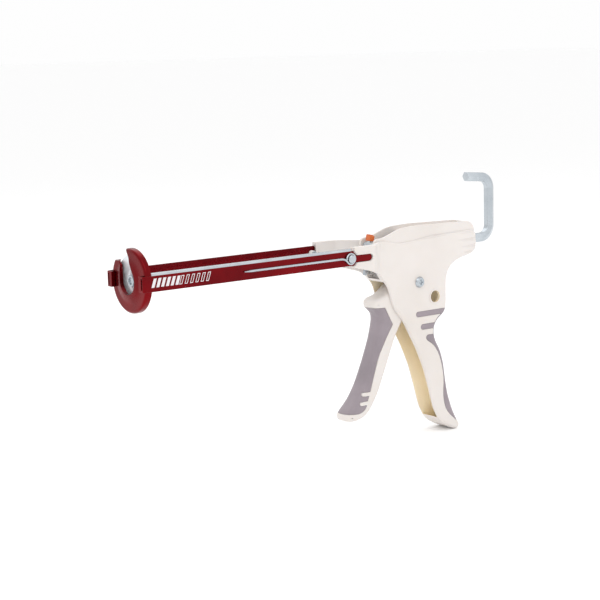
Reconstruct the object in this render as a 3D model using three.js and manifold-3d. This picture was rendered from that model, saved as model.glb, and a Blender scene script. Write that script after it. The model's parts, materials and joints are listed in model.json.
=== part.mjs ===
// A caulking gun for one sealant cartridge: two rails and a front dish form the cradle, a hexagonal rod
// pushes the cartridge's piston, and a trigger in a moulded body drives the rod through a gripping plate.
// Millimetres, +Z up. Everything is drawn about the rod's axis, with the nose towards -X and the cartridge
// stops at x = 0, and the whole gun is then set on the tip of its rear handle.
import * as THREE from "three";
import { mergeVertices } from "three/addons/utils/BufferGeometryUtils.js";
import Module from "manifold-3d";

const wasm = await Module();
wasm.setup();

// Driving sizes of the cradle
const cradleLength = 222; // dish's inner face to the cartridge stops
const railOuterY = 31; // middle plane to a rail's outer face
const railThickness = 1.8;
const railHeight = 14;
const needleLength = 123; // seal needle, from its rivet to its point
const needleWire = 2.2;
const needleLift = 0.7; // needle's axis above the rod's axis
const tabHeight = 6.6; // narrow rear end of a rail, held by the body's arm
const tabLength = 20;
const dishWall = 2;
const dishDome = 2; // how far the middle of the dish stands forward
const dishSkirt = 4;
const seatRise = 0.3; // ring that the cartridge rests on, above the rest of the dish's inner face
const nozzleSlotRadius = 12;
const nozzleSlotTilt = (32 * Math.PI) / 180; // near edge's lean from upright, towards the far side

// Driving sizes of the rod and of what rides on it
const rodFlats = 9; // across flats
const rodTravel = 225;
const hookRise = 62; // rod's axis to the axis of the hook's top
const hookReach = 32; // hook's upright to its free end
const hookBend = 12.5;
const plungerRadius = 23;
const sheet = 1.5;

// Driving sizes of the body, the handle and the trigger
const bodyHalf = 13.5; // middle plane to a side face
const bodyWall = 2.5;
const tailX = 180.5;
const handleLength = 121.5; // below the heel, along Z
const leverLength = 93; // trigger below the apex, along Z
const triggerNose = 6; // how far the trigger's front is round
const earWidth = 8.7; // folded ear, from a rail's outer face inwards
const armOuterY = railOuterY + 1.5;
const armWall = 6;
const gripDepth = 1.4; // how deep the soft grips are let in
const triggerAngle = (26 * Math.PI) / 180; // full pull

// Clearances
const gap = 0.3; // between pieces that touch
const slide = 0.3; // all round the rod in its guides
const round = 48; // facets of a full turn

// Places that several pieces share
const railInnerY = railOuterY - railThickness;
const dishRadius = railInnerY - gap;
const dishInnerX = -cradleLength;
const noseX = dishInnerX - dishWall - 4; // front of the rails' ears
const pivot = { x: 102, z: -35, boltRadius: 3, bushRadius: 4.5 };
const pushPin = { reach: 24, radius: 2.5 };
pushPin.x = pivot.x + pushPin.reach * Math.sin(triggerAngle / 2);
pushPin.z = pivot.z + pushPin.reach * Math.cos(triggerAngle / 2);
const cavityHalf = bodyHalf - bodyWall;
const triggerHalf = cavityHalf - 0.4;
const chamberHalf = 8.8; // mechanism chamber, under the housing's rims
const housingHalf = chamberHalf + bodyWall;
const bulkhead = { front: 61, back: 66 };
const drivePlate = { back: pushPin.x - pushPin.radius - gap, thickness: 3.5 };
const brake = { x: 45.6, z: -11.5, lean: (12 * Math.PI) / 180, thickness: 2.5, tail: 12, height: 26 };
const heelZ = -70; // where the handle begins
const rodCorner = rodFlats / Math.sqrt(3); // rod's axis to one of its edges
const hookX = tailX + 30; // hook's upright

// Materials
const finishes = {
  ivory: { color: 0xe9e2d9, roughness: 0.45, metalness: 0 },
  grip: { color: 0x948a90, roughness: 0.7, metalness: 0 },
  red: { color: 0x7c0a12, roughness: 0.3, metalness: 0.4 },
  zinc: { color: 0xc3c8cc, roughness: 0.3, metalness: 1 },
  orange: { color: 0xd8581e, roughness: 0.5, metalness: 0 },
  nylon: { color: 0xf0efea, roughness: 0.5, metalness: 0 },
};

// Solids from closed geometries, and back
function solid(geometry) {
  const bare = geometry.index ? geometry.toNonIndexed() : geometry.clone();
  bare.deleteAttribute("normal");
  bare.deleteAttribute("uv");
  const merged = mergeVertices(bare, 1e-4);
  const vertProperties = merged.attributes.position.array;
  const triVerts = new Uint32Array(merged.index.array);
  return new wasm.Manifold(new wasm.Mesh({ numProp: 3, vertProperties, triVerts }));
}

function join(...pieces) {
  return pieces.reduce((whole, piece) => whole.add(piece));
}

function cut(whole, ...pieces) {
  return whole.subtract(join(...pieces));
}

function named(name, shape, finish) {
  const { vertProperties, triVerts } = shape.getMesh();
  const geometry = new THREE.BufferGeometry();
  geometry.setAttribute("position", new THREE.BufferAttribute(vertProperties, 3));
  geometry.setIndex(new THREE.BufferAttribute(triVerts, 1));
  const facets = geometry.toNonIndexed();
  facets.computeVertexNormals();
  const mesh = new THREE.Mesh(facets, new THREE.MeshStandardMaterial(finishes[finish]));
  mesh.name = name;
  return mesh;
}

// Outline drawn from corners; a corner that is a list of points is a smooth curve through them
function outline(first, ...rest) {
  const shape = new THREE.Shape();
  shape.moveTo(...first);
  for (const step of rest) {
    if (Array.isArray(step[0])) shape.splineThru(step.map(([x, y]) => new THREE.Vector2(x, y)));
    else shape.lineTo(...step);
  }
  return shape;
}

// Smooth outline: straight runs between the corners, each corner rounded off within its neighbours' reach
function smooth(corners, reach = 6) {
  const points = corners.map(([x, y]) => new THREE.Vector2(x, y));
  const shape = new THREE.Shape();
  points.forEach((corner, index) => {
    const before = points.at(index - 1);
    const after = points[(index + 1) % points.length];
    const near = (other) => {
      const length = Math.min(reach, 0.48 * corner.distanceTo(other));
      return other.clone().sub(corner).setLength(length).add(corner);
    };
    const start = near(before);
    const end = near(after);
    if (index === 0) shape.moveTo(start.x, start.y);
    else shape.lineTo(start.x, start.y);
    shape.quadraticCurveTo(corner.x, corner.y, end.x, end.y);
  });
  return shape;
}

// Bar with round ends between two points of an outline plane
function capsule(x0, x1, middle, radius) {
  const shape = new THREE.Shape();
  shape.absarc(x0 + radius, middle, radius, Math.PI / 2, (3 * Math.PI) / 2, false);
  shape.absarc(x1 - radius, middle, radius, -Math.PI / 2, Math.PI / 2, false);
  return shape;
}

// Corners of an outline moved inwards, each along the bisector of its two sides
function drawnIn(contour, distance) {
  return contour.map((corner, index) => {
    const into = corner.clone().sub(contour.at(index - 1)).normalize();
    const out = contour[(index + 1) % contour.length].clone().sub(corner).normalize();
    const inward = new THREE.Vector2(-into.y - out.y, into.x + out.x).normalize();
    const share = Math.max(inward.x * -into.y + inward.y * into.x, 0.5);
    return corner.clone().addScaledVector(inward, distance / share);
  });
}

// Smallest x where an outline crosses a height
function frontOf(contour, z) {
  let front = Infinity;
  contour.forEach((end, index) => {
    const start = contour.at(index - 1);
    if ((start.y - z) * (end.y - z) > 0) return;
    const share = start.y === end.y ? 0 : (z - start.y) / (end.y - start.y);
    front = Math.min(front, start.x + share * (end.x - start.x));
  });
  return front;
}

// (x, z) outline as a slab either side of the middle plane, with its edges rounded. A nose draws the
// front of the slab back towards its side faces, so that the front is round from side to side.
function sideSlab(shape, half, edge = 0, nose = 0, curveSegments = 3) {
  const contour = shape.getPoints(curveSegments).filter((p, i, all) => p.distanceTo(all.at(i - 1)) > 1e-3);
  if (THREE.ShapeUtils.isClockWise(contour)) contour.reverse();
  const fronts = contour.map((corner) => (nose > 0 ? frontOf(contour, corner.y) : 0));
  const heights = [half];
  if (edge > 0) heights.unshift(half - edge, half - 0.3 * edge);
  if (nose > 0) heights.unshift(0.3 * half, 0.57 * half);
  const ringAt = (y) => {
    const past = edge > 0 ? Math.max(y - half + edge, 0) / edge : 0;
    const back = nose * (1 - Math.sqrt(1 - (y / half) ** 2));
    return drawnIn(contour, edge * (1 - Math.sqrt(1 - past * past))).map((corner, index) => {
      const share = nose > 0 ? Math.max(1 - (corner.x - fronts[index]) / (3 * nose), 0) : 0;
      return new THREE.Vector2(corner.x + back * share, corner.y);
    });
  };
  const layers = heights.map((y) => ({ y, ring: ringAt(y) }));
  for (const layer of [...layers]) layers.unshift({ y: -layer.y, ring: layer.ring });
  const position = layers.flatMap(({ y, ring }) => ring.flatMap((p) => [p.x, y, p.y]));
  const count = contour.length;
  const last = (layers.length - 1) * count;
  const lid = THREE.ShapeUtils.triangulateShape(contour, []);
  const index = lid.flatMap(([a, b, c]) => [a, b, c, last + a, last + c, last + b]);
  for (let start = 0; start < last; start += count) {
    for (let side = 0; side < count; side += 1) {
      const a = start + side;
      const b = start + ((side + 1) % count);
      index.push(a, a + count, b, b, a + count, b + count);
    }
  }
  const geometry = new THREE.BufferGeometry();
  geometry.setAttribute("position", new THREE.Float32BufferAttribute(position, 3));
  geometry.setIndex(index);
  return solid(geometry);
}

// (x, y) outline raised from z0 to z1
function planSlab(shape, z0, z1, curveSegments = 6) {
  const geometry = new THREE.ExtrudeGeometry(shape, { depth: z1 - z0, bevelEnabled: false, curveSegments });
  geometry.translate(0, 0, z0);
  return solid(geometry);
}

// (y, z) outline drawn out from x0 to x1
function frontSlab(shape, x0, x1, curveSegments = 12) {
  const geometry = new THREE.ExtrudeGeometry(shape, { depth: x1 - x0, bevelEnabled: false, curveSegments });
  const turn = new THREE.Matrix4().makeBasis(
    new THREE.Vector3(0, 1, 0),
    new THREE.Vector3(0, 0, 1),
    new THREE.Vector3(1, 0, 0),
  );
  geometry.applyMatrix4(turn);
  geometry.translate(x0, 0, 0);
  return solid(geometry);
}

function box(x0, x1, y0, y1, z0, z1) {
  const geometry = new THREE.BoxGeometry(x1 - x0, y1 - y0, z1 - z0);
  geometry.translate((x0 + x1) / 2, (y0 + y1) / 2, (z0 + z1) / 2);
  return solid(geometry);
}

// Round bar across the gun, from y0 to y1
function crossBar(x, z, radius, y0, y1, facets = round) {
  const geometry = new THREE.CylinderGeometry(radius, radius, y1 - y0, facets);
  geometry.translate(x, (y0 + y1) / 2, z);
  return solid(geometry);
}

// Turned piece on the rod's axis, from a closed (radius, x) profile that starts and ends on the axis
function turned(profile, facets = round) {
  const points = profile.map(([radius, x]) => new THREE.Vector2(radius, x));
  const geometry = new THREE.LatheGeometry(points, facets);
  geometry.rotateZ(-Math.PI / 2);
  return solid(geometry);
}

function bar(radius, x0, x1, facets = round) {
  return turned([[0, x0], [radius, x0], [radius, x1], [0, x1]], facets);
}

function hexagon(flats) {
  const shape = new THREE.Shape();
  for (let side = 0; side < 6; side += 1) {
    const angle = (side * Math.PI) / 3;
    const corner = flats / Math.sqrt(3);
    if (side === 0) shape.moveTo(corner, 0);
    else shape.lineTo(corner * Math.cos(angle), corner * Math.sin(angle));
  }
  return shape;
}

// Wire coil about an axis along X
class Coil extends THREE.Curve {
  constructor(x0, x1, radius, turns, y, z) {
    super();
    Object.assign(this, { x0, x1, radius, turns, y, z });
  }

  getPoint(t, target = new THREE.Vector3()) {
    const angle = 2 * Math.PI * this.turns * t;
    const x = this.x0 + (this.x1 - this.x0) * t;
    return target.set(x, this.y + this.radius * Math.cos(angle), this.z + this.radius * Math.sin(angle));
  }
}

function swept(section, path, steps) {
  return solid(new THREE.ExtrudeGeometry(section, { steps, extrudePath: path, bevelEnabled: false }));
}

function wireSection(wire, sides) {
  const section = new THREE.Shape();
  for (let side = 0; side < sides; side += 1) {
    const angle = (2 * Math.PI * side) / sides;
    const corner = [(wire / 2) * Math.cos(angle), (wire / 2) * Math.sin(angle)];
    if (side === 0) section.moveTo(...corner);
    else section.lineTo(...corner);
  }
  return section;
}

function spring(x0, x1, radius, wire, turns, y = 0, z = 0) {
  const ends = wire / 2 + gap;
  const coil = new Coil(x0 + ends, x1 - ends, radius, turns, y, z);
  return swept(wireSection(wire, 6), coil, turns * 12);
}

// Rails: a strip with a folded ear in front of the dish and a narrow tab at the rear

function railSide(clearance = 0) {
  const top = railHeight / 2 + clearance;
  const tabTop = tabHeight / 2 - 0.7 + clearance;
  const tabLow = -tabHeight / 2 - 0.7 - clearance;
  const tabEnd = 7 + tabLength + clearance;
  const tabMiddle = (tabTop + tabLow) / 2;
  const shape = new THREE.Shape();
  shape.moveTo(noseX - 10, -top);
  shape.lineTo(5 + clearance, -top);
  shape.lineTo(7.5 + clearance, tabLow);
  shape.absarc(tabEnd - (tabTop - tabLow) / 2, tabMiddle, (tabTop - tabLow) / 2, -Math.PI / 2, Math.PI / 2, false);
  shape.lineTo(7.5 + clearance, tabTop);
  shape.lineTo(4 + clearance, top);
  shape.lineTo(noseX - 10, top);
  return shape;
}

function makeRail(side) {
  const inner = railInnerY;
  const earInner = railOuterY - earWidth;
  const plan = outline(
    [40, inner],
    [40, railOuterY],
    [noseX + 2, railOuterY],
    [noseX, railOuterY - 2],
    [noseX, earInner],
    [dishInnerX - dishWall - gap, earInner],
    [dishInnerX - dishWall - gap, earInner + railThickness],
    [noseX + railThickness, earInner + railThickness],
    [noseX + railThickness, inner],
  );
  const strip = planSlab(plan, -railHeight, railHeight).intersect(sideSlab(railSide(), railOuterY + 1));
  const earSlot = box(noseX - 1, noseX + railThickness + 0.2, railOuterY - 4.6, railOuterY - 3, -5, 5);
  const shankHole = crossBar(0, 0, stopShank + gap, inner - 5, railOuterY + 5);
  const rail = cut(strip, shankHole, earSlot);
  return side > 0 ? rail : rail.mirror([0, 1, 0]);
}

// Stop rivets: a head outside the rail over a washer or the needle's eye, and inside the rail a shank with
// a sleeve that the cartridge's rim meets

const stopShank = 1.9;
const stopSleeve = { radius: 3, length: 5 };
const stopWasher = { radius: 6, thickness: needleWire };
const headRadius = 3.9;

function makeStopRivet(side, thickness) {
  const seat = railOuterY + thickness + 2 * gap;
  const head = new THREE.CylinderGeometry(headRadius - 0.7, headRadius, 1.5, 32).translate(0, seat + 0.75, 0);
  const tip = railInnerY - stopSleeve.length - 1.4;
  const shank = crossBar(0, 0, stopShank, tip + 0.2, seat + 0.5, 24);
  const foot = crossBar(0, 0, stopShank + 0.7, tip, tip + 0.8, 24);
  const rivet = join(solid(head), shank, foot);
  return side > 0 ? rivet : rivet.mirror([0, 1, 0]);
}

function makeStopSleeve(side) {
  const outer = railInnerY - gap;
  const tube = crossBar(0, 0, stopSleeve.radius, outer - stopSleeve.length + gap, outer, 28);
  const sleeve = cut(tube, crossBar(0, 0, stopShank + 0.2, 0, 40, 24));
  return side > 0 ? sleeve : sleeve.mirror([0, 1, 0]);
}

function makeStopWasher() {
  const inner = railOuterY + gap;
  const disc = crossBar(0, 0, stopWasher.radius, inner, inner + stopWasher.thickness, 40);
  return cut(disc, crossBar(0, 0, stopShank + gap, inner - 1, inner + 5, 24));
}

// Seal needle: a wire with an eye round the near rivet, lying along the outside of the rail

const eyeRadius = 4.8;
const eyeStart = Math.PI + 0.12;
const eyeTurn = 2 * Math.PI * 0.93;
const pointLength = 7.5;
const overlap = 0.01; // between two solids that are joined end to end

function makeSealNeedle() {
  const y = -railOuterY - gap - needleWire / 2;
  const at = (x, z) => new THREE.Vector3(x, y, z);
  const end = eyeStart - eyeTurn;
  const leaving = [eyeRadius * Math.cos(end), eyeRadius * Math.sin(end)];
  const onwards = [leaving[0] + 3.2 * Math.sin(end), leaving[1] - 3.2 * Math.cos(end)];
  const path = new THREE.CurvePath();
  path.add(new Eye(y));
  path.add(new THREE.CubicBezierCurve3(
    at(...leaving), at(...onwards), at(-9.5, needleLift), at(-13, needleLift)));
  path.add(new THREE.LineCurve3(at(-13, needleLift), at(pointLength - needleLength, needleLift)));
  const point = new THREE.CylinderGeometry(needleWire / 2, 0.4, pointLength, 10).rotateZ(-Math.PI / 2);
  point.translate(pointLength / 2 - needleLength + overlap, y, needleLift);
  return join(swept(wireSection(needleWire, 10), path, 72), solid(point));
}

// Eye of the needle, turned clockwise as seen from the near side
class Eye extends THREE.Curve {
  constructor(y) {
    super();
    this.y = y;
  }

  getPoint(t, target = new THREE.Vector3()) {
    const angle = eyeStart - eyeTurn * t;
    return target.set(eyeRadius * Math.cos(angle), this.y, eyeRadius * Math.sin(angle));
  }
}

// Dish: a shallow cup, domed in front and flat inside, with the nozzle's slot open to the upper far side

function nozzleSlot() {
  const r = nozzleSlotRadius;
  const far = 3 * dishRadius;
  const along = [Math.sin(nozzleSlotTilt), Math.cos(nozzleSlotTilt)];
  const shape = new THREE.Shape();
  shape.moveTo(r, 0.45 * dishRadius);
  shape.lineTo(r, 0);
  shape.absarc(0, 0, r, 0, -Math.PI - nozzleSlotTilt, true);
  shape.lineTo(-r * along[1] + far * along[0], r * along[0] + far * along[1]);
  shape.lineTo(far, 0.58 * dishRadius);
  shape.lineTo(r + 3.5, 0.58 * dishRadius);
  return shape;
}

function makeDish() {
  const face = dishInnerX - dishWall;
  const back = dishInnerX + dishSkirt;
  const rim = dishRadius;
  const profile = [
    [0, face - dishDome],
    [nozzleSlotRadius, face - dishDome],
    [0.57 * rim, face - 0.75 * dishDome],
    [railOuterY - earWidth - 1, face],
    [rim - 2.8, face],
    [rim - 1.4, face + 0.35],
    [rim - 0.4, face + 1.3],
    [rim, face + 2.8],
    [rim, back],
    [rim - 1.8, back],
    [rim - 1.8, dishInnerX + 1.5],
    [rim - 3.3, dishInnerX],
    [plungerRadius + 0.5, dishInnerX],
    [plungerRadius + 0.2, dishInnerX - seatRise],
    [0, dishInnerX - seatRise],
  ];
  return cut(turned(profile, 72), frontSlab(nozzleSlot(), face - 10, back + 10, 10));
}

// Push rod with its hook, and the plunger on its front end

const cupX = dishInnerX + 5.5; // back of the cup's flat middle
const nut = { flats: 10, thickness: 4.2 };
const studRadius = 3;

function makeRod() {
  const section = hexagon(rodFlats);
  const shoulder = cupX + sheet + gap;
  const straight = frontSlab(section, shoulder, hookX - hookBend - 4);
  const stud = bar(studRadius, dishInnerX + 0.9, shoulder + 1, 24);
  const bendEnd = hookX - hookBend;
  const path = new THREE.CurvePath();
  const at = (x, z) => new THREE.Vector3(x, 0, z);
  const quarter = 0.5523 * hookBend; // handle length of a round quarter turn
  path.add(new THREE.LineCurve3(at(bendEnd - 6, 0), at(bendEnd, 0)));
  path.add(new THREE.CubicBezierCurve3(
    at(bendEnd, 0), at(bendEnd + quarter, 0), at(hookX, hookBend - quarter), at(hookX, hookBend)));
  path.add(new THREE.LineCurve3(at(hookX, hookBend), at(hookX, hookRise - hookBend)));
  path.add(new THREE.CubicBezierCurve3(
    at(hookX, hookRise - hookBend), at(hookX, hookRise - hookBend + quarter),
    at(bendEnd + quarter, hookRise), at(bendEnd, hookRise)));
  path.add(new THREE.LineCurve3(at(bendEnd, hookRise), at(hookX - hookReach, hookRise + 1.6)));
  const upright = new THREE.Shape(hexagon(rodFlats).getPoints().map((p) => new THREE.Vector2(p.y, p.x)));
  return join(straight, stud, swept(upright, path, 56));
}

function makePlungerCup() {
  const middle = 8;
  const lip = plungerRadius;
  const profile = [
    [studRadius + gap, cupX - sheet],
    [middle, cupX - sheet],
    [lip - 2, dishInnerX + 1.2],
    [lip, dishInnerX + 1.4],
    [lip, dishInnerX + 4],
    [lip - sheet, dishInnerX + 4],
    [lip - sheet - 0.6, dishInnerX + 2.9],
    [middle + 0.6, cupX],
    [studRadius + gap, cupX],
    [studRadius + gap, cupX - sheet],
  ];
  return turned(profile, 56);
}

function makePlungerWasher() {
  const disc = bar(9, cupX + gap, cupX + gap + sheet - 0.3, 40);
  return cut(disc, bar(studRadius + gap, cupX, cupX + 5, 24));
}

function makePlungerNut() {
  const back = cupX - sheet - gap;
  const hex = frontSlab(hexagon(nut.flats), back - nut.thickness, back);
  return cut(hex, bar(studRadius + 0.15, back - 10, back + 1, 24));
}

// Body: side walls with a housing on top, two arms that hold the rails, and the hollow rear handle

const down = (share) => heelZ - share * handleLength;

function bodySide() {
  return smooth([
    [50, -22.5], [50, 9.6], [62, 9.6], [78, 6.2], [98, 7.6], [118, 10], [150, 10.8], [tailX - 3, 11.6],
    [tailX, 5.5], [tailX, -9], [tailX - 7, -13.8], [160, -16.2], [149, -20], [141.5, -26.5], [138.5, -36],
    [138.4, heelZ + 7.5], [135.5, heelZ], [125, heelZ - 6], [121, down(0.12)], [122.4, down(0.205)],
    [129.6, down(0.3)], [134, down(0.42)], [136, down(0.545)], [139, down(0.68)], [145, down(0.822)],
    [150.5, down(0.91)], [155.5, down(0.965)], [152.5, down(1)], [147, down(1)], [129.5, down(0.925)],
    [120.4, down(0.8)], [114.5, down(0.626)], [107, down(0.43)], [97, down(0.25)], [80, heelZ - 0.3],
    [70, -60], [65.2, -48], [62.5, -36],
  ]);
}

function housingSide() {
  return smooth([
    [46, 0], [46, 12.2], [57, 12.2], [68, 15.8], [79, 19.7], [92, 20.9], [110, 21.3], [tailX - 6, 19.5],
    [tailX - 1.2, 12], [tailX - 1.2, 0],
  ]);
}

// One side wall of the yoke in plan: outer and inner curve of the same S bend
function armPlan(side) {
  const bend = (x, y, inset) => {
    const t = Math.min(Math.max((x - 26) / 30, 0), 1);
    return [x, side * (y + (bodyHalf - inset - y) * t * t * (3 - 2 * t))];
  };
  const outer = [];
  const inner = [];
  for (let x = 26; x <= 60; x += 34 / 8) {
    outer.push(bend(x, armOuterY, 0));
    inner.unshift(bend(x, armOuterY - armWall, bodyWall));
  }
  const corners = [[4.5, side * (armOuterY - armWall)], [4.5, side * armOuterY], ...outer, ...inner];
  if (side < 0) corners.reverse();
  return outline(...corners);
}

function armSide() {
  return outline(
    [3, -8.2],
    [3, 10.4],
    [[24, 10.2], [42, 9.8], [62, 9.5]],
    [62, -34],
    [[50, -22.5], [42, -19.4], [26, -14.2], [3, -8.2]],
  );
}

function flutes() {
  const rows = [[9, 132], [1.6, 138], [-5.4, 146], [-11.2, 152]];
  const grooves = [];
  for (const [z, start] of rows) {
    for (const side of [-1, 1]) {
      const length = tailX + 4 - start;
      const groove = new THREE.CylinderGeometry(2.3, 0.1, length, 12);
      groove.rotateZ(-Math.PI / 2);
      groove.translate(start + length / 2, side * (bodyHalf + 0.6), z);
      grooves.push(solid(groove));
    }
  }
  return join(...grooves);
}

// Hollow of the handle and of the space that the trigger swings in, open towards the front
function triggerSpace() {
  const wall = 3.2;
  const space = outline(
    [40, -40],
    [66, -26],
    [92, -16],
    [113, -16],
    [[124, -26], [138.6 - wall - 1, -44]],
    [138.4 - wall - 1, -62],
    [[124.5 - wall, -74], [119.6 - wall, -86], [126.5 - wall, down(0.305)], [132.3 - wall, down(0.53)],
      [135.5 - wall, down(0.66)], [140.5 - wall, down(0.806)], [146 - wall, down(0.92)]],
    [126, down(0.875)],
    [60, down(1.05)],
  );
  return sideSlab(space, cavityHalf);
}

function mechanismSpace() {
  const floor = -24;
  return join(
    box(40, bulkhead.front, -chamberHalf, chamberHalf, floor - 4, 30),
    box(bulkhead.back, 116, -chamberHalf, chamberHalf, floor, 12.5),
    box(bulkhead.back, 90, -chamberHalf, chamberHalf, 0, 30),
    box(bulkhead.front - 1, bulkhead.back + 1, -chamberHalf, chamberHalf, 9, 30),
    box(90, tailX - 8, -chamberHalf, chamberHalf, 15, 30),
  );
}

const lanyardHole = { x: 122.5, z: -51.6, radius: 6 };

function bodyShell() {
  const arms = [-1, 1].map((side) => planSlab(armPlan(side), -40, 20));
  const yoke = join(...arms).intersect(sideSlab(armSide(), armOuterY + 1));
  const ring = crossBar(lanyardHole.x, lanyardHole.z, lanyardHole.radius + 1.4, -bodyHalf - 0.5, bodyHalf + 0.5);
  const wide = housingHalf + 1.1;
  const narrow = housingHalf - 0.9;
  const draft = frontSlab(outline([-wide, -1], [wide, -1], [narrow, 22], [-narrow, 22]), 40, 190);
  const housing = sideSlab(housingSide(), wide, 1.2).intersect(draft);
  return join(sideSlab(bodySide(), bodyHalf, 2.6), housing, yoke, ring);
}

function gripZone() {
  const far = 175;
  const backStrip = outline(
    [far, -64.6],
    [137, -64.6],
    [135.2, -67.2],
    [[125.2, -73.8], [120.1, -81.6], [119.8, -90]],
    [far, -90],
  );
  const tail = outline(
    [far, -89.2],
    [112.2, -89.2],
    [[110, -91.4], [112, -95.2], [121, down(0.262)], [128.4, down(0.368)], [132.8, down(0.53)],
      [132.4, down(0.7)], [137, down(0.826)], [149.5, down(0.925)]],
    [far, down(0.925)],
  );
  return join(
    sideSlab(backStrip, 20),
    sideSlab(tail, 20),
    sideSlab(capsule(97, far, -67.4, 2.8), 20),
    sideSlab(capsule(103, far, -80.6, 2.9), 20),
  );
}

// What lies under the handle's soft grip: the handle drawn in at its sides and its back
function handleCore(extra) {
  const depth = gripDepth + extra;
  const core = sideSlab(bodySide(), bodyHalf - depth, 2);
  return core.intersect(core.translate([-depth, 0, 0]));
}

function makeBody() {
  const pocket = sideSlab(railSide(gap), 4);
  const pockets = [-1, 1].map((side) => pocket.translate([0, side * (railInnerY - gap + 4), 0]));
  const letIn = gripZone().subtract(handleCore(0));
  return cut(
    bodyShell(),
    ...pockets,
    flutes(),
    triggerSpace(),
    mechanismSpace(),
    letIn,
    bar(guide.radius + gap, bulkhead.front - 1, bulkhead.back + 1, 40),
    bar(rodCorner + 1, 100, tailX + 5, 32),
    bar(guide.radius + gap, tailX - guide.length - gap, tailX + 5, 40),
    crossBar(pivot.x, pivot.z, pivot.boltRadius + gap, -30, 30, 24),
    crossBar(lanyardHole.x, lanyardHole.z, lanyardHole.radius, -30, 30, 40),
    crossBar(brake.x, brake.z, brakePin.radius + gap, -brakePin.half - gap, brakePin.half + gap, 20),
  );
}

function makeHandleGrip() {
  const skin = sideSlab(bodySide(), bodyHalf, 2.6).intersect(shrunk(gripZone(), 1));
  return skin.subtract(handleCore(-gap));
}

// A soft grip's zone, drawn in from the edges of its pocket
function shrunk(zone, towards) {
  const moves = [[1, 0], [0, 1], [0, -1], [1, 1], [1, -1]];
  const moved = moves.map(([x, z]) => zone.translate([towards * x * gap, 0, z * gap]));
  return moved.reduce((rest, copy) => rest.intersect(copy), zone);
}

// Trigger and its soft grip

const reach = (share) => heelZ - 1 - share * leverLength;

function triggerSide() {
  const { x, z } = pushPin;
  return smooth([
    [45.6, -56], [44.6, -50], [49.5, -46.6], [58, -45.4], [65.5, -39.5], [73, -34.5], [92, -25],
    [x - 8, z - 4], [x - 4.6, z + 3.9], [x + 3.8, z + 3.9], [x + 7.6, z - 5], [114, -37], [107, -48],
    [95, -59], [82.5, reach(0)], [73, reach(0.155)], [66.5, reach(0.31)], [58.5, reach(0.51)],
    [51.5, reach(0.69)], [43, reach(0.845)], [34.5, reach(0.955)], [25, reach(0.99)], [16, reach(1)],
    [9.3, reach(0.993)], [8.3, reach(0.928)], [21.5, reach(0.8)], [31, reach(0.65)],
    [41.2, reach(0.415)], [49.8, reach(0.18)], [54.6, -69], [53.2, -61.5],
  ]);
}

function triggerGripZone() {
  const pad = outline(
    [0, -55.2],
    [59.6, -55.8],
    [69.4, reach(0.03)],
    [[60.3, reach(0.172)], [50.6, reach(0.355)], [45.2, reach(0.51)], [39.6, reach(0.69)]],
    [35.8, reach(0.8)],
    [[33.4, reach(0.87)], [30, reach(0.905)], [24.5, reach(0.925)]],
    [-20, reach(0.9)],
    [-20, -55.2],
  );
  const notch = (x, share) => sideSlab(capsule(x, 60, reach(share), 1.8), 20);
  return cut(sideSlab(pad, 20), notch(29.2, 0.73), notch(25.8, 0.825));
}

function triggerCore(extra) {
  const depth = gripDepth + extra;
  const core = sideSlab(triggerSide(), triggerHalf - depth, 2, triggerNose, 2);
  return core.intersect(core.translate([depth, 0, 0]));
}

function makeTrigger() {
  const pinSeat = crossBar(pushPin.x, pushPin.z, pushPin.radius + gap / 2, -triggerHalf - 1, triggerHalf + 1, 32);
  const slotForPlate = box(
    pushPin.x - 12, pushPin.x - 0.5, -20, 20, pushPin.z - 6, pushPin.z + 12);
  return cut(
    sideSlab(triggerSide(), triggerHalf, 2.4, triggerNose, 2).intersect(upperNarrowing()),
    triggerGripZone().subtract(triggerCore(0)),
    crossBar(pivot.x, pivot.z, pivot.bushRadius + gap / 2, -20, 20, 32),
    pinSeat,
    slotForPlate,
  );
}

// The lobe above the pivot runs in the narrower mechanism chamber
function upperNarrowing() {
  const half = chamberHalf - 0.5;
  return join(box(-40, 200, -20, 20, -300, pivot.z + 9), box(-40, 200, -half, half, pivot.z + 8, 50));
}

function makeTriggerGrip() {
  const skin = sideSlab(triggerSide(), triggerHalf, 2.4, triggerNose, 2).intersect(shrunk(triggerGripZone(), -1));
  return skin.subtract(triggerCore(-gap));
}

function makePushPin() {
  const half = chamberHalf - 0.8;
  return crossBar(pushPin.x, pushPin.z, pushPin.radius, -half, half, 32);
}

// Pivot: bolt with a cross recess on the near side, nut on the far side, bush in the trigger

function makePivotBolt() {
  const face = bodyHalf + gap;
  const dome = new THREE.CylinderGeometry(5.6, 4.4, 2.2, 32).translate(pivot.x, -face - 1.1, pivot.z);
  const head = solid(dome);
  const shank = crossBar(pivot.x, pivot.z, pivot.boltRadius, -face - 0.5, face + 5.4, 24);
  const recess = join(
    box(pivot.x - 2.7, pivot.x + 2.7, -face - 4, -face - 1, pivot.z - 0.6, pivot.z + 0.6),
    box(pivot.x - 0.6, pivot.x + 0.6, -face - 4, -face - 1, pivot.z - 2.7, pivot.z + 2.7),
  );
  return cut(join(head, shank), recess);
}

function makePivotNut() {
  const face = bodyHalf + gap;
  const shape = new THREE.CylinderGeometry(5.2, 5.2, 4.4, 6).translate(pivot.x, face + 2.2, pivot.z);
  return cut(solid(shape), crossBar(pivot.x, pivot.z, pivot.boltRadius + 0.15, face - 1, face + 8, 24));
}

function makePivotBush() {
  const half = triggerHalf;
  const tube = crossBar(pivot.x, pivot.z, pivot.bushRadius, -half, half, 32);
  return cut(tube, crossBar(pivot.x, pivot.z, pivot.boltRadius + 0.2, -20, 20, 24));
}

// Rod guides: a bush in the bulkhead and one in the tail

const guide = { radius: rodCorner + 1.4, length: 8 };

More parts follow.
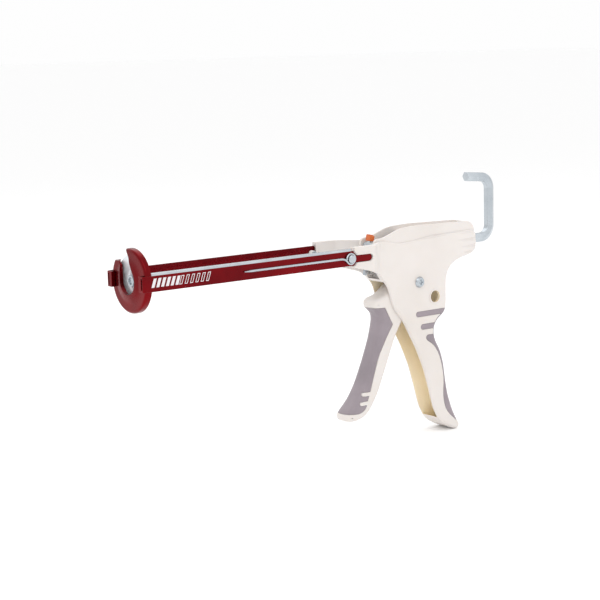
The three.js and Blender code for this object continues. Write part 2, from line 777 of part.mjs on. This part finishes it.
function makeFrontGuide() {
  const front = bulkhead.front + 0.4;
  return cut(bar(guide.radius, front, bulkhead.back + 1.5, 40), frontSlab(hexagon(rodFlats + 2 * slide), 40, 90));
}

function makeRearGuide() {
  const sleeve = bar(guide.radius, tailX - guide.length, tailX + 0.6, 40);
  return cut(sleeve, frontSlab(hexagon(rodFlats + 2 * slide), 100, 220));
}

// Drive: the plate that grips the rod when the trigger pushes it, and its return spring

function roundedPlate(halfY, low, high, corner) {
  return outline(
    [-halfY + corner, low], [halfY - corner, low], [halfY, low + corner], [halfY, high - corner],
    [halfY - corner, high], [-halfY + corner, high], [-halfY, high - corner], [-halfY, low + corner],
  );
}

function makeDrivePlate() {
  const back = drivePlate.back;
  const plate = frontSlab(roundedPlate(chamberHalf - 0.8, -15.5, 9, 2), back - drivePlate.thickness, back);
  return cut(plate, frontSlab(hexagon(rodFlats + 2 * slide), back - 10, back + 5));
}

const driveWire = 1.4;

function makeDriveSpring() {
  const radius = rodCorner + driveWire / 2 + 0.7;
  return spring(bulkhead.back + 1.5, drivePlate.back - drivePlate.thickness, radius, driveWire, 9);
}

// Brake: a leaning plate that holds the rod, freed by pushing its orange cap forward

const brakePin = { radius: 1.5, half: 16.8 };

function leaned(shape) {
  const degrees = (brake.lean * 180) / Math.PI;
  return shape
    .translate([-brake.x, 0, -brake.z])
    .rotate([0, degrees, 0])
    .translate([brake.x, 0, brake.z]);
}

function makeBrakePlate() {
  const half = brake.thickness / 2;
  const slab = roundedPlate(7.6, brake.z - 3, brake.z + brake.height - 6, 1.6);
  const tongue = box(brake.x - half, brake.x + half, -1.8, 1.8, brake.z - brake.tail, brake.z + brake.height);
  const barrel = crossBar(brake.x, brake.z, brakePin.radius + 1.6, -7.2, 7.2, 20);
  const plate = join(frontSlab(slab, brake.x - half, brake.x + half), tongue, barrel);
  const hole = frontSlab(hexagon(rodFlats + 1.4), brake.x - 10, brake.x + 14);
  const pinHole = crossBar(brake.x, brake.z, brakePin.radius + gap / 2, -20, 20, 20);
  return cut(leaned(plate), hole, pinHole);
}

function makeBrakePin() {
  return crossBar(brake.x, brake.z, brakePin.radius, -brakePin.half, brakePin.half, 20);
}

function makeReleaseCap() {
  const top = brake.z + brake.height + 1.3;
  const low = brake.z + brake.height - 4.4;
  const outer = box(brake.x - 2.9, brake.x + 2.9, -3.4, 3.4, low, top);
  const inside = box(
    brake.x - brake.thickness / 2 - gap, brake.x + brake.thickness / 2 + gap, -1.8 - gap, 1.8 + gap,
    low - 1, brake.z + brake.height + gap);
  return leaned(cut(outer, inside));
}

function makeBrakeSpring() {
  const z = brake.z - 8;
  const front = brake.x + brake.thickness / 2 + 0.2;
  return spring(front, bulkhead.front, 3.4, 0.9, 6, 0, z);
}

// The gun
const gun = new THREE.Group();
gun.add(
  named("body", makeBody(), "ivory"),
  named("handle_grip", makeHandleGrip(), "grip"),
  named("trigger", makeTrigger(), "ivory"),
  named("trigger_grip", makeTriggerGrip(), "grip"),
  named("pivot_bolt", makePivotBolt(), "zinc"),
  named("pivot_nut", makePivotNut(), "zinc"),
  named("pivot_bush", makePivotBush(), "zinc"),
  named("push_pin", makePushPin(), "zinc"),
  named("front_dish", makeDish(), "red"),
  named("push_rod", makeRod(), "zinc"),
  named("plunger_cup", makePlungerCup(), "zinc"),
  named("plunger_washer", makePlungerWasher(), "zinc"),
  named("plunger_nut", makePlungerNut(), "zinc"),
  named("front_guide", makeFrontGuide(), "nylon"),
  named("rear_guide", makeRearGuide(), "nylon"),
  named("drive_plate", makeDrivePlate(), "zinc"),
  named("drive_spring", makeDriveSpring(), "zinc"),
  named("brake_plate", makeBrakePlate(), "zinc"),
  named("brake_pin", makeBrakePin(), "zinc"),
  named("brake_spring", makeBrakeSpring(), "zinc"),
  named("release_cap", makeReleaseCap(), "orange"),
);
for (const [word, side, under] of [["near", -1, needleWire], ["far", 1, stopWasher.thickness]]) {
  gun.add(
    named(`rail_${word}`, makeRail(side), "red"),
    named(`stop_rivet_${word}`, makeStopRivet(side, under), "zinc"),
    named(`stop_sleeve_${word}`, makeStopSleeve(side), "nylon"),
  );
}
gun.add(
  named("stop_washer", makeStopWasher(), "zinc"),
  named("seal_needle", makeSealNeedle(), "zinc"),
);

// Stood on the handle's tip, with the middle of its length at x = 0
gun.position.set(-(noseX + hookX + rodFlats / 2) / 2, 0, -down(1));

const model = new THREE.Group();
model.add(gun);
export default model;
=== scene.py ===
import json
import math

import bmesh
import bpy
from mathutils import Matrix, Vector


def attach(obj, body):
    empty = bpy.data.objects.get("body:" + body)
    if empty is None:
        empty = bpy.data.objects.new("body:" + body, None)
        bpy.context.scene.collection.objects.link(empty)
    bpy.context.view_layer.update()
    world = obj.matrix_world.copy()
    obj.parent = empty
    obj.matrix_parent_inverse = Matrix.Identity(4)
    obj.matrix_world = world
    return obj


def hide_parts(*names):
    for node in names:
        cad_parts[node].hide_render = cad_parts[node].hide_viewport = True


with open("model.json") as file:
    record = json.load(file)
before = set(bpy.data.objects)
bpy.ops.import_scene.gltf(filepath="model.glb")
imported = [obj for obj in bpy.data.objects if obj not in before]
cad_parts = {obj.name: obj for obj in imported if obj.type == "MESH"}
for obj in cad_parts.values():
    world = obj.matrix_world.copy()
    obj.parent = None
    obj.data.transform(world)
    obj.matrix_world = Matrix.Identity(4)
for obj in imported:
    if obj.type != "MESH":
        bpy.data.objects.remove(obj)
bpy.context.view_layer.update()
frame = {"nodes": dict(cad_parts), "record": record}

mm = 0.001
print("frame loaded:", len(frame["nodes"]), "nodes")

# camera: looks at the gun from its front left, a little above the rod
cameraSetup = {
    "azimuth": -37.295,  # degrees
    "elevation": 9.051,
    "roll": -1.412,
    "lens": 96.609,
    "target": (-0.03032, 0.0, 0.15318),
    "distance": 1.52205,
}


def makeCamera(setup):
    azimuth = math.radians(setup["azimuth"])
    elevation = math.radians(setup["elevation"])
    roll = math.radians(setup["roll"])
    right = Vector((math.cos(azimuth), math.sin(azimuth), 0))
    level = math.cos(elevation)
    back = Vector((math.sin(azimuth) * level, -math.cos(azimuth) * level, math.sin(elevation)))
    up = back.cross(right)
    tiltedRight = right * math.cos(roll) + up * math.sin(roll)
    tiltedUp = up * math.cos(roll) - right * math.sin(roll)
    place = Vector(setup["target"]) + back * setup["distance"]
    turn = Matrix((tiltedRight, tiltedUp, back)).transposed().to_4x4()
    data = bpy.data.cameras.new("camera")
    data.lens = setup["lens"]
    data.sensor_width = 36
    data.clip_end = 100
    camera = bpy.data.objects.new("camera", data)
    camera.matrix_world = Matrix.Translation(place) @ turn
    bpy.context.scene.collection.objects.link(camera)
    bpy.context.scene.camera = camera


makeCamera(cameraSetup)

# studio: pale floor and three soft lights
studio = {
    "floorColour": (0.985, 0.985, 0.985),
    "worldColour": (1.0, 1.0, 1.0),
    "worldStrength": 0.99,
    "viewTransform": "Standard",
    "floorReach": 40,
    "floorDrop": 0.0004,  # metres below the gun's lowest point
    "floorRoughness": 0.9,
    "lights": [
        {"name": "keyLight", "place": (-0.7, -1.0, 1.7), "size": 2.2, "power": 9.5},
        {"name": "fillLight", "place": (1.4, -0.9, 0.9), "size": 2.0, "power": 2},
        {"name": "topLight", "place": (0.1, 0.9, 1.6), "size": 2.0, "power": 7},
    ],
    "aim": (0.0, 0.0, 0.13),
}


def makeStudio(setup):
    world = bpy.data.worlds.new("studio")
    bpy.context.scene.world = world
    bpy.context.scene.view_settings.view_transform = setup["viewTransform"]
    world.use_nodes = True
    background = world.node_tree.nodes["Background"]
    background.inputs["Color"].default_value = (*setup["worldColour"], 1)
    background.inputs["Strength"].default_value = setup["worldStrength"]
    mesh = bpy.data.meshes.new("floor")
    bm = bmesh.new()
    bmesh.ops.create_grid(bm, x_segments=1, y_segments=1, size=setup["floorReach"])
    bm.to_mesh(mesh)
    bm.free()
    floor = bpy.data.objects.new("floor", mesh)
    floor.location.z = -setup["floorDrop"]
    bpy.context.scene.collection.objects.link(floor)
    paint = bpy.data.materials.new("floorPaint")
    paint.use_nodes = True
    shader = paint.node_tree.nodes["Principled BSDF"]
    shader.inputs["Base Color"].default_value = (*setup["floorColour"], 1)
    shader.inputs["Roughness"].default_value = setup["floorRoughness"]
    mesh.materials.append(paint)
    for item in setup["lights"]:
        data = bpy.data.lights.new(item["name"], "AREA")
        data.shape = "DISK"
        data.size = item["size"]
        data.energy = item["power"]
        light = bpy.data.objects.new(item["name"], data)
        light.location = item["place"]
        aim = Vector(setup["aim"]) - Vector(item["place"])
        light.rotation_euler = aim.to_track_quat("-Z", "Y").to_euler()
        bpy.context.scene.collection.objects.link(light)


makeStudio(studio)
print("studio ready")


noiseRange = (0.3, 0.7)  # most values of a noise lie between these


# material helpers: each finish is a principled shader with noise in the piece's own coordinates
class Finish:
    def __init__(self, name):
        self.material = bpy.data.materials.new(name)
        self.material.use_nodes = True
        self.tree = self.material.node_tree
        self.shader = self.tree.nodes["Principled BSDF"]
        self.coordinates = self.tree.nodes.new("ShaderNodeTexCoord")

    def setValue(self, socket, value):
        self.shader.inputs[socket].default_value = value

    def joinTo(self, output, target):
        self.tree.links.new(output, target)

    def noise(self, scale, detail, roughness=0.55):
        node = self.tree.nodes.new("ShaderNodeTexNoise")
        node.inputs["Scale"].default_value = scale
        node.inputs["Detail"].default_value = detail
        node.inputs["Roughness"].default_value = roughness
        self.joinTo(self.coordinates.outputs["Object"], node.inputs["Vector"])
        return node.outputs["Fac"]

    def cells(self, scale):
        node = self.tree.nodes.new("ShaderNodeTexVoronoi")
        node.inputs["Scale"].default_value = scale
        self.joinTo(self.coordinates.outputs["Object"], node.inputs["Vector"])
        return node.outputs["Distance"]

    def ramp(self, source, stops):
        node = self.tree.nodes.new("ShaderNodeValToRGB")
        elements = node.color_ramp.elements
        while len(elements) < len(stops):
            elements.new(0.5)
        for element, (place, colour) in zip(elements, stops):
            element.position = place
            element.color = (*colour, 1)
        self.joinTo(source, node.inputs["Fac"])
        return node.outputs["Color"]

    def span(self, source, low, high):
        node = self.tree.nodes.new("ShaderNodeMapRange")
        node.inputs["From Min"].default_value = noiseRange[0]
        node.inputs["From Max"].default_value = noiseRange[1]
        node.inputs["To Min"].default_value = low
        node.inputs["To Max"].default_value = high
        self.joinTo(source, node.inputs["Value"])
        return node.outputs["Result"]

    def bump(self, height, strength, distance, under=None):
        node = self.tree.nodes.new("ShaderNodeBump")
        node.inputs["Strength"].default_value = strength
        node.inputs["Distance"].default_value = distance
        self.joinTo(height, node.inputs["Height"])
        if under is not None:
            self.joinTo(under, node.inputs["Normal"])
        return node.outputs["Normal"]

    def colour(self, output):
        self.joinTo(output, self.shader.inputs["Base Color"])

    def roughness(self, output):
        self.joinTo(output, self.shader.inputs["Roughness"])

    def normal(self, output):
        self.joinTo(output, self.shader.inputs["Normal"])


ivorySetup = {"pale": (0.74, 0.695, 0.665), "deep": (0.695, 0.645, 0.605), "roughness": (0.4, 0.52)}


def makeIvory(name, setup):
    finish = Finish(name)
    drift = finish.noise(14, 3)
    finish.colour(finish.ramp(drift, [(0.35, setup["deep"]), (0.65, setup["pale"])]))
    finish.roughness(finish.span(finish.noise(60, 3), *setup["roughness"]))
    grain = finish.bump(finish.noise(2600, 2), 0.25, 0.00006)
    finish.normal(finish.bump(finish.noise(90, 2), 0.2, 0.00025, grain))
    finish.setValue("Subsurface Weight", 0.08)
    finish.setValue("Subsurface Radius", (1.0, 0.7, 0.45))
    finish.setValue("Subsurface Scale", 0.0015)
    return finish.material


gripSetup = {"pale": (0.30, 0.255, 0.28), "deep": (0.24, 0.205, 0.225), "roughness": (0.42, 0.56)}


def makeGripRubber(name, setup):
    finish = Finish(name)
    finish.colour(finish.ramp(finish.noise(22, 4), [(0.35, setup["deep"]), (0.65, setup["pale"])]))
    finish.roughness(finish.span(finish.noise(120, 3), *setup["roughness"]))
    stipple = finish.bump(finish.cells(1500), 0.35, 0.00008)
    finish.normal(finish.bump(finish.noise(300, 3), 0.2, 0.0001, stipple))
    finish.setValue("Sheen Weight", 0.12)
    finish.setValue("Sheen Roughness", 0.45)
    return finish.material


redSetup = {"pale": (0.19, 0.001, 0.004), "deep": (0.12, 0.0006, 0.003), "roughness": (0.2, 0.3)}


def makeRedPaint(name, setup):
    finish = Finish(name)
    finish.colour(finish.ramp(finish.noise(30, 4), [(0.3, setup["deep"]), (0.7, setup["pale"])]))
    finish.roughness(finish.span(finish.noise(80, 3), *setup["roughness"]))
    finish.normal(finish.bump(finish.noise(420, 2), 0.25, 0.00008))
    finish.setValue("Metallic", 0.85)
    finish.setValue("Specular IOR Level", 0.15)
    finish.setValue("Coat Weight", 0.12)
    finish.setValue("Coat Roughness", 0.1)
    return finish.material


zincSetup = {"pale": (0.56, 0.60, 0.635), "deep": (0.42, 0.46, 0.495), "roughness": (0.2, 0.3)}


def makeZinc(name, setup, metal=1.0):
    finish = Finish(name)
    finish.colour(finish.ramp(finish.noise(45, 5, 0.6), [(0.3, setup["deep"]), (0.7, setup["pale"])]))
    finish.roughness(finish.span(finish.noise(160, 4, 0.6), *setup["roughness"]))
    finish.normal(finish.bump(finish.noise(500, 2, 0.5), 0.08, 0.00004))
    finish.setValue("Metallic", metal)
    return finish.material


wireSetup = {"pale": (0.46, 0.45, 0.43), "deep": (0.33, 0.32, 0.30), "roughness": (0.22, 0.34)}
cupSheetSetup = {"pale": (0.84, 0.87, 0.90), "deep": (0.74, 0.78, 0.82), "roughness": (0.3, 0.42)}
# painted shade: darker warm tan standing in for the shadow inside the handle's hollow and the lanyard hole
paintedShadeInsideSetup = {"pale": (0.93, 0.83, 0.64), "deep": (0.89, 0.77, 0.55), "roughness": (0.5, 0.6)}
inkPaintSetup = {"pale": (0.82, 0.80, 0.80), "deep": (0.72, 0.69, 0.70), "roughness": (0.35, 0.45)}
nylonSetup = {"pale": (0.84, 0.83, 0.80), "deep": (0.72, 0.70, 0.66), "roughness": (0.4, 0.5)}
orangeSetup = {"pale": (0.66, 0.15, 0.03), "deep": (0.55, 0.11, 0.02), "roughness": (0.3, 0.42)}

paintedShadeInside = makeIvory("ivoryPaintedShade", paintedShadeInsideSetup)
cupPlate = makeZinc("cupPlate", cupSheetSetup, metal=0.5)
inkWhite = makeIvory("railInk", inkPaintSetup)
paints = {
    "ivory_plastic": makeIvory("ivoryPlastic", ivorySetup),
    "grip_rubber": makeGripRubber("gripRubber", gripSetup),
    "red_paint": makeRedPaint("redPowderCoat", redSetup),
    "zinc_steel": makeZinc("zincPlate", zincSetup),
    "spring_steel": makeZinc("springWire", wireSetup),
    "white_nylon": makeIvory("whiteNylon", nylonSetup),
    "orange_plastic": makeIvory("orangePlastic", orangeSetup),
}
print("finishes ready")

slotOf = {part["node"]: part["material_slot"] for part in frame["record"]["subparts"]}
bodyOf = {node: body for body, nodes in frame["record"]["behaviour"]["bodies"].items() for node in nodes}


def finishPiece(name, bm, body, slotName, standsFor, sharpAngle=32, paint=None):
    mesh = bpy.data.meshes.new(name)
    bm.to_mesh(mesh)
    bm.free()
    for face in mesh.polygons:
        face.use_smooth = True
    mesh.set_sharp_from_angle(angle=math.radians(sharpAngle))
    mesh.materials.append(paint or paints[slotName])
    piece = bpy.data.objects.new(name, mesh)
    bpy.context.scene.collection.objects.link(piece)
    flatten = piece.modifiers.new("flatFaces", "WEIGHTED_NORMAL")
    flatten.mode = "FACE_AREA"
    flatten.weight = 90
    flatten.keep_sharp = True
    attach(piece, body)
    if standsFor:
        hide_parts(*standsFor)
    return piece


sameSpot = 1e-6  # metres: corners closer than this are one
nearFlat = 1.5  # degrees: edges flatter than this only divide a face
endAngle = 69  # degrees: only a bar's end faces meet its sides more sharply
roundAngle = 50  # degrees: turned, wound and bent pieces are shaded smooth up to this


def roundEdges(bm, angle, width, segments):
    sharp = [e for e in bm.edges if e.is_manifold and e.calc_face_angle(0) > math.radians(angle)]
    bmesh.ops.bevel(bm, geom=sharp, offset=width, offset_type="OFFSET", affect="EDGES", segments=segments,
                    profile=0.5, material=-1, clamp_overlap=True)


# a node's own shape, merged, with its sharp edges rounded where a width is given
def softened(node, width, angle=30, segments=2):
    bm = bmesh.new()
    bm.from_mesh(frame["nodes"][node].data)
    bmesh.ops.remove_doubles(bm, verts=bm.verts, dist=sameSpot)
    bmesh.ops.dissolve_limit(bm, angle_limit=math.radians(nearFlat), verts=bm.verts, edges=bm.edges)
    if width > 0:
        roundEdges(bm, angle, width, segments)
    return finishPiece(node + "Soft", bm, bodyOf[node], slotOf[node], [node])


softEdges = {
    "handle_grip": 0.0, "trigger": 0.0, "trigger_grip": 0.0, "pivot_bolt": 0.0002, "pivot_nut": 0.0003,
    "pivot_bush": 0.0002, "push_pin": 0.0003, "plunger_washer": 0.0002, "plunger_nut": 0.0003,
    "front_guide": 0.0002, "rear_guide": 0.0003, "drive_plate": 0.0003, "brake_plate": 0.0003, "brake_pin": 0.0002,
    "release_cap": 0.0006, "stop_rivet_near": 0.0002, "stop_rivet_far": 0.0002, "stop_sleeve_near": 0.0002,
    "stop_sleeve_far": 0.0002, "stop_washer": 0.0002, "seal_needle": 0.0,
}
for nodeName, edgeWidth in softEdges.items():
    softened(nodeName, edgeWidth)

# body shell: the inside of the handle and of the lanyard hole gets a darker warm tan, painted shade standing in
# for the shadow inside these hollows (metres)
shellSetup = {"insideHalf": 0.011, "hole": (0.129, 0.1399), "holeRadius": 0.006, "near": 0.00005}


def makeShell(setup):
    piece = softened("body", 0.0)
    mesh = piece.data
    mesh.materials.append(paintedShadeInside)
    hole = Vector(setup["hole"])
    for face in mesh.polygons:
        corners = [mesh.vertices[index].co for index in face.vertices]
        offWall = max(abs(abs(co.y) - setup["insideHalf"]) for co in corners)
        offHole = max(abs((co.xz - hole).length - setup["holeRadius"]) for co in corners)
        # faces on the handle's inner walls and on the hole's wall take the painted-shade tan
        if min(offWall, offHole) < setup["near"]:
            face.material_index = 1


makeShell(shellSetup)
print("shell and small pieces ready")


rodHeight = 0.1915  # metres: level of the rod's axis


# a full turn about the rod's axis from (radius, x) corners in millimetres
def turnedShape(profile, steps):
    bm = bmesh.new()
    corners = [bm.verts.new((x * mm, 0, rodHeight + radius * mm)) for radius, x in profile]
    edges = [bm.edges.new((a, b)) for a, b in zip(corners, corners[1:])]
    bmesh.ops.spin(bm, geom=corners + edges, cent=(0, 0, rodHeight), axis=(1, 0, 0), angle=2 * math.pi,
                   steps=steps, use_merge=True, use_duplicate=False)
    bmesh.ops.remove_doubles(bm, verts=bm.verts, dist=sameSpot)
    bmesh.ops.recalc_face_normals(bm, faces=bm.faces)
    return bm


# plunger cup: pressed sheet with stepped rings and a rolled rim; its steps are (radius, depth) corners
cupSetup = {
    "front": -214.6,
    "turnSteps": 96,
    "outside": [(3.4, 2.6), (7.6, 2.6), (8.4, 2.45), (9.4, 1.9), (10.6, 1.6), (13, 1.5), (14, 1.35), (15, 0.8),
                (16.2, 0.55), (18.6, 0.45), (20.2, 0.1), (21.4, 0), (22.5, 0.25), (23, 0.8), (23, 3.6), (22.7, 4)],
    "inside": [(22.2, 4), (21.6, 3.3), (20.8, 1.9), (16, 2.3), (12, 3.1), (8.6, 4.0), (3.4, 4.0)],
}


def makeCup(setup):
    corners = [*setup["outside"], *setup["inside"], setup["outside"][0]]
    bm = turnedShape([(radius, setup["front"] + depth) for radius, depth in corners], setup["turnSteps"])
    node = "plunger_cup"
    finishPiece("cupPressing", bm, bodyOf[node], slotOf[node], [node], roundAngle, cupPlate)


makeCup(cupSetup)


# springs: round wire wound into a coil, with its two ends capped
springSetup = {
    "drive_spring": {"start": 74.6, "end": 106.5, "radius": 6.6, "wire": 1.3, "turns": 9, "height": 191.5},
    "brake_spring": {"start": 54.2, "end": 66.4, "radius": 3.4, "wire": 0.85, "turns": 6, "height": 172.0},
}
coilFineness = {"wireSides": 12, "stepsPerTurn": 36}


def makeSpring(node, setup):
    bm = bmesh.new()
    wire = setup["wire"] / 2
    start = setup["start"] + wire
    end = setup["end"] - wire
    sides = coilFineness["wireSides"]
    steps = setup["turns"] * coilFineness["stepsPerTurn"]
    ring = bmesh.ops.create_circle(bm, cap_ends=False, segments=sides, radius=wire * mm)["verts"]
    centre = Vector((start, 0, setup["height"])) * mm
    bmesh.ops.translate(bm, verts=ring, vec=Vector((start, setup["radius"], setup["height"])) * mm)
    bmesh.ops.spin(bm, geom=ring + list(bm.edges), cent=centre, axis=(1, 0, 0),
                   dvec=Vector(((end - start) * mm / steps, 0, 0)), angle=2 * math.pi * setup["turns"],
                   steps=steps, use_merge=False, use_duplicate=False)
    bmesh.ops.holes_fill(bm, edges=[e for e in bm.edges if e.is_boundary], sides=sides)
    bmesh.ops.recalc_face_normals(bm, faces=bm.faces)
    finishPiece(node + "Wire", bm, bodyOf[node], slotOf[node], [node], roundAngle)


for nodeName, springSizes in springSetup.items():
    makeSpring(nodeName, springSizes)
print("cup and springs ready")

# dish and rails: the frame's own shapes with finer rolled edges (metres)
rolledEdges = {"front_dish": 0.0003, "rail_near": 0.0004, "rail_far": 0.0004}
for nodeName, edgeWidth in rolledEdges.items():
    softened(nodeName, edgeWidth, angle=24, segments=3)

# push rod: rounded hexagonal bar, bent twice into its hook, with a round stud in front
rodSetup = {"flats": 9.0, "edge": 0.55, "endEdge": 0.4, "front": -208.2, "bendAt": 204.5, "bend": 12.5,
            "rise": 62.0, "hookEnd": 185.0, "hookLift": 1.55, "bendSteps": 20,
            "stud": 3.0, "studFront": -214.6, "studSunk": 1.0, "studSides": 32}


def makeRod(setup):
    bm = bmesh.new()
    corner = setup["flats"] / math.sqrt(3) * mm
    ring = bmesh.ops.create_circle(bm, cap_ends=True, segments=6, radius=corner)["verts"]
    bmesh.ops.bevel(bm, geom=ring, offset=setup["edge"] * mm, offset_type="OFFSET", affect="VERTICES", segments=3,
                    profile=0.5, material=-1)
    alongRod = Matrix.Rotation(math.pi / 2, 4, "Y")
    place = Matrix.Translation((setup["front"] * mm, 0, rodHeight))
    bmesh.ops.transform(bm, matrix=place @ alongRod, verts=bm.verts)

    def lastFace(geometry):
        return next(item for item in geometry if isinstance(item, bmesh.types.BMFace))

    def onward(face, move):
        face = lastFace(bmesh.ops.extrude_face_region(bm, geom=[face])["geom"])
        bmesh.ops.translate(bm, verts=list(face.verts), vec=Vector(move) * mm)
        return face

    def bent(face, rise):
        centre = (setup["bendAt"] * mm, 0, rodHeight + rise * mm)
        turned = bmesh.ops.spin(bm, geom=[face], cent=centre, axis=(0, 1, 0), angle=-math.pi / 2,
                                steps=setup["bendSteps"], use_merge=False, use_duplicate=False)
        return lastFace(turned["geom_last"])

    face = onward(list(bm.faces)[0], (setup["bendAt"] - setup["front"], 0, 0))
    face = bent(face, setup["bend"])
    face = onward(face, (0, 0, setup["rise"] - 2 * setup["bend"]))
    face = bent(face, setup["rise"] - setup["bend"])
    onward(face, (setup["hookEnd"] - setup["bendAt"], 0, setup["hookLift"]))
    bmesh.ops.remove_doubles(bm, verts=bm.verts, dist=sameSpot)
    inner = [f for f in bm.faces if all(len(e.link_faces) > 2 for e in f.edges)]
    bmesh.ops.delete(bm, geom=inner, context="FACES_ONLY")
    roundEdges(bm, endAngle, setup["endEdge"] * mm, segments=2)
    length = setup["front"] + setup["studSunk"] - setup["studFront"]
    radius = setup["stud"] * mm
    stud = bmesh.ops.create_cone(bm, cap_ends=True, segments=setup["studSides"], radius1=radius, radius2=radius,
                                 depth=length * mm)["verts"]
    place = Matrix.Translation(((setup["studFront"] + length / 2) * mm, 0, rodHeight))
    bmesh.ops.transform(bm, matrix=place @ alongRod, verts=stud)
    bmesh.ops.recalc_face_normals(bm, faces=bm.faces)
    finishPiece("pushRodBar", bm, bodyOf["push_rod"], slotOf["push_rod"], ["push_rod"], roundAngle)


makeRod(rodSetup)

# printed bars on the near rail: a solid group, then an outlined group (first x, last x, count)
inkSetup = {"solid": (-211.0, -186.5, 6), "open": (-182.5, -154.5, 6), "low": 188.4, "high": 196.2, "width": 3.0,
            "lean": 0.35, "line": 0.55, "thickness": 0.06, "face": -31.0}


def makeInk(setup):
    bm = bmesh.new()
    rise = setup["high"] - setup["low"]
    lean = Matrix.Identity(4)
    lean[0][1] = setup["lean"] * rise / setup["width"]
    size = Matrix.Diagonal((setup["width"] * mm, rise * mm, 1, 1))
    upright = Matrix.Rotation(math.pi / 2, 4, "X")
    for group in ("solid", "open"):
        first, last, count = setup[group]
        for index in range(count):
            middle = Vector((first + (last - first) * index / (count - 1), setup["face"], setup["low"] + rise / 2))
            bar = bmesh.ops.create_grid(bm, x_segments=1, y_segments=1, size=0.5)["verts"]
            place = Matrix.Translation(middle * mm)
            bmesh.ops.transform(bm, matrix=place @ upright @ size @ lean, verts=bar)
            if group == "open":
                face = list({f for v in bar for f in v.link_faces})
                bmesh.ops.inset_individual(bm, faces=face, thickness=setup["line"] * mm, use_even_offset=True)
                bmesh.ops.delete(bm, geom=face, context="FACES")
    raised = bmesh.ops.extrude_face_region(bm, geom=list(bm.faces))["geom"]
    outwards = [v for v in raised if isinstance(v, bmesh.types.BMVert)]
    bmesh.ops.translate(bm, verts=outwards, vec=(0, -setup["thickness"] * mm, 0))
    bmesh.ops.recalc_face_normals(bm, faces=bm.faces)
    finishPiece("railInkBars", bm, "frame", "red_paint", [], paint=inkWhite)


makeInk(inkSetup)

# release cap: grip ribs across its top, leaning as the cap does (lean in degrees)
ribSetup = {"count": 3, "pitch": 1.7, "middle": (56.95, 0, 207.2), "half": 2.7, "radius": 0.35, "edge": 0.15,
            "sides": 12, "lean": 12}


def makeCapRibs(setup):
    bm = bmesh.new()
    lean = Matrix.Rotation(math.radians(setup["lean"]), 4, "Y")
    across = Matrix.Rotation(math.pi / 2, 4, "X")
    radius = setup["radius"] * mm
    for index in range(setup["count"]):
        step = (index - (setup["count"] - 1) / 2) * setup["pitch"]
        place = Vector(setup["middle"]) + lean @ Vector((step, 0, 0))
        bar = bmesh.ops.create_cone(bm, cap_ends=True, segments=setup["sides"], radius1=radius, radius2=radius,
                                    depth=2 * setup["half"] * mm)["verts"]
        bmesh.ops.transform(bm, matrix=Matrix.Translation(place * mm) @ across, verts=bar)
    roundEdges(bm, endAngle, setup["edge"] * mm, segments=2)
    finishPiece("capRibs", bm, "release", "orange_plastic", [])


makeCapRibs(ribSetup)
print("pieces ready")
